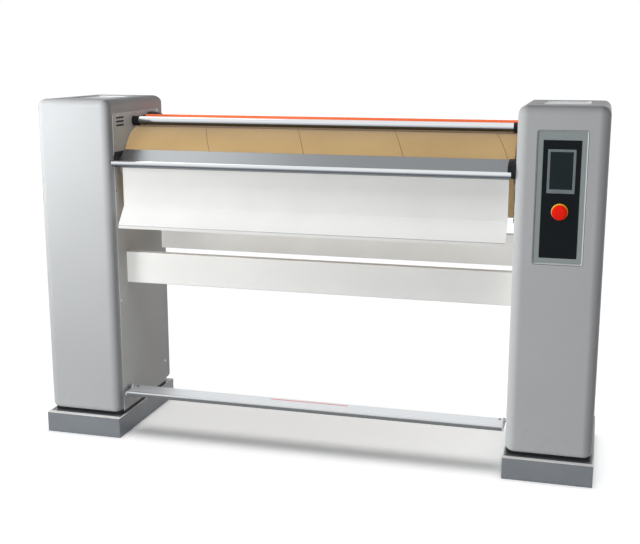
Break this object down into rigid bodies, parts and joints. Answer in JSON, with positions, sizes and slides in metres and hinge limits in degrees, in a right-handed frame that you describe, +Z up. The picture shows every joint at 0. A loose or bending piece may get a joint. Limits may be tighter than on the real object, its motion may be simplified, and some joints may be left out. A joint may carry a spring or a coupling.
{
  "type": "flatwork ironer",
  "caption": "Floor-standing roller ironer: padded roll and heated chest between two rounded pillars, with feed table, finger guard, foot bar and control panel.",
  "frame": {"origin": "on the floor, under the middle of the roll and half way between the front and back of the plinths", "axes": "+X along the roll to the operator's right, +Y to the back, +Z up"},
  "size_m": [1.723, 0.433, 1.07],
  "materials": {
    "plinth_grey": "satin",
    "pad_rubber": "matte",
    "structure_black": "satin",
    "pillar_grey": "satin metallic",
    "inner_grey": "satin",
    "tray_grey": "satin",
    "fastener_steel": "zinc plated",
    "apron_white": "satin",
    "roll_cloth": "needled cloth",
    "roll_felt": "felt",
    "machined_steel": "machined",
    "chain_steel": "oiled",
    "bearing_iron": "painted",
    "motor_grey": "painted casting",
    "chest_aluminium": "polished",
    "insulation_wool": "mineral wool",
    "hood_orange": "satin",
    "cap_black": "satin",
    "guard_chrome": "polished",
    "feed_aluminium": "brushed",
    "pedal_aluminium": "anodised",
    "panel_silver": "brushed",
    "fascia_black": "gloss",
    "bezel_grey": "satin",
    "display_dark": "gloss",
    "stop_yellow": "gloss",
    "stop_red": "gloss",
    "contactor_grey": "satin"
  },
  "bodies": {
    "frame": {"left_plinth": "plinth_grey", "right_plinth": "plinth_grey", "base_pads": "pad_rubber", "left_side_frame": "structure_black", "right_side_frame": "structure_black", "left_shell": "pillar_grey", "right_shell": "pillar_grey", "left_inner_panel": "inner_grey", "right_inner_panel": "inner_grey", "left_service_plate": "inner_grey", "right_service_plate": "inner_grey", "left_top_tray": "tray_grey", "right_top_tray": "tray_grey", "panel_screws": "fastener_steel", "frame_bolts": "fastener_steel", "front_crossbar": "apron_white", "rear_crossbar": "apron_white", "left_roll_bearing": "bearing_iron", "right_roll_bearing": "bearing_iron", "drive_chain": "chain_steel", "gearbox": "motor_grey", "gearbox_bracket": "structure_black", "drive_motor": "motor_grey", "chest_pivot_pins": "machined_steel", "press_cylinders": "chest_aluminium", "feed_table": "feed_aluminium", "feed_nose": "feed_aluminium", "feed_caps": "cap_black", "apron": "apron_white", "panel_plate": "panel_silver", "panel_fascia": "fascia_black", "display_bezel": "bezel_grey", "display_glass": "display_dark", "estop_collar": "stop_yellow", "estop_contact_block": "cap_black", "control_box": "structure_black", "contactors": "contactor_grey", "gland_plate": "structure_black", "cable_gland": "cap_black"},
    "roll": {"roll_cover": "roll_cloth", "roll_padding": "roll_felt", "roll_tube": "machined_steel", "left_roll_journal": "machined_steel", "right_roll_journal": "machined_steel", "roll_sprocket": "machined_steel"},
    "motor_output": {"motor_sprocket": "machined_steel"},
    "chest": {"heated_chest": "chest_aluminium", "heating_elements": "machined_steel", "chest_insulation": "insulation_wool", "chest_hood": "hood_orange", "chest_rear_cover": "inner_grey", "chest_arms": "structure_black", "hood_end_caps": "cap_black"},
    "press": {"press_rods": "machined_steel"},
    "guard": {"guard_bar": "guard_chrome", "guard_brackets": "cap_black"},
    "pedal": {"pedal_bar": "pedal_aluminium", "pedal_end_plates": "cap_black"},
    "stop_stem": {"estop_stem": "cap_black"},
    "stop_head": {"estop_head": "stop_red"}
  },
  "joints": [
    {"name": "roll_spin", "type": "hinge", "parent": "frame", "child": "roll", "pos_m": [0, 0, 0.858], "axis": [1, 0, 0], "continuous": true},
    {"name": "motor_spin", "type": "hinge", "parent": "frame", "child": "motor_output", "pos_m": [-0.68, 0, 0.55182], "axis": [1, 0, 0], "continuous": true},
    {"name": "chest_swing", "type": "hinge", "parent": "frame", "child": "chest", "pos_m": [0, 0.145, 0.7], "axis": [-1, 0, 0], "range_deg": [0, 5]},
    {"name": "press_slide", "type": "slide", "parent": "frame", "child": "press", "axis": [0, 1, 0], "range_m": [0, 0.0228]},
    {"name": "guard_swing", "type": "hinge", "parent": "frame", "child": "guard", "pos_m": [0, -0.022, 0.9895], "axis": [-1, 0, 0], "range_deg": [0, 12], "stiffness_Nm_per_rad": 1, "springref_deg": -17.19},
    {"name": "pedal_press", "type": "hinge", "parent": "frame", "child": "pedal", "pos_m": [0, -0.127, 0.146], "axis": [1, 0, 0], "range_deg": [0, 8], "stiffness_Nm_per_rad": 8, "springref_deg": -17.19},
    {"name": "stop_push", "type": "slide", "parent": "frame", "child": "stop_stem", "axis": [0, 1, 0], "range_m": [0, 0.0045]},
    {"name": "stop_twist", "type": "hinge", "parent": "stop_stem", "child": "stop_head", "pos_m": [0.733, -0.2, 0.7835], "axis": [0, 1, 0], "range_deg": [0, 40], "stiffness_Nm_per_rad": 0.05}
  ],
  "couplings": [
    {"joint": "motor_spin", "follows": "roll_spin", "ratio": 2},
    {"joint": "press_slide", "follows": "chest_swing", "m_per_rad": 0.26}
  ]
}
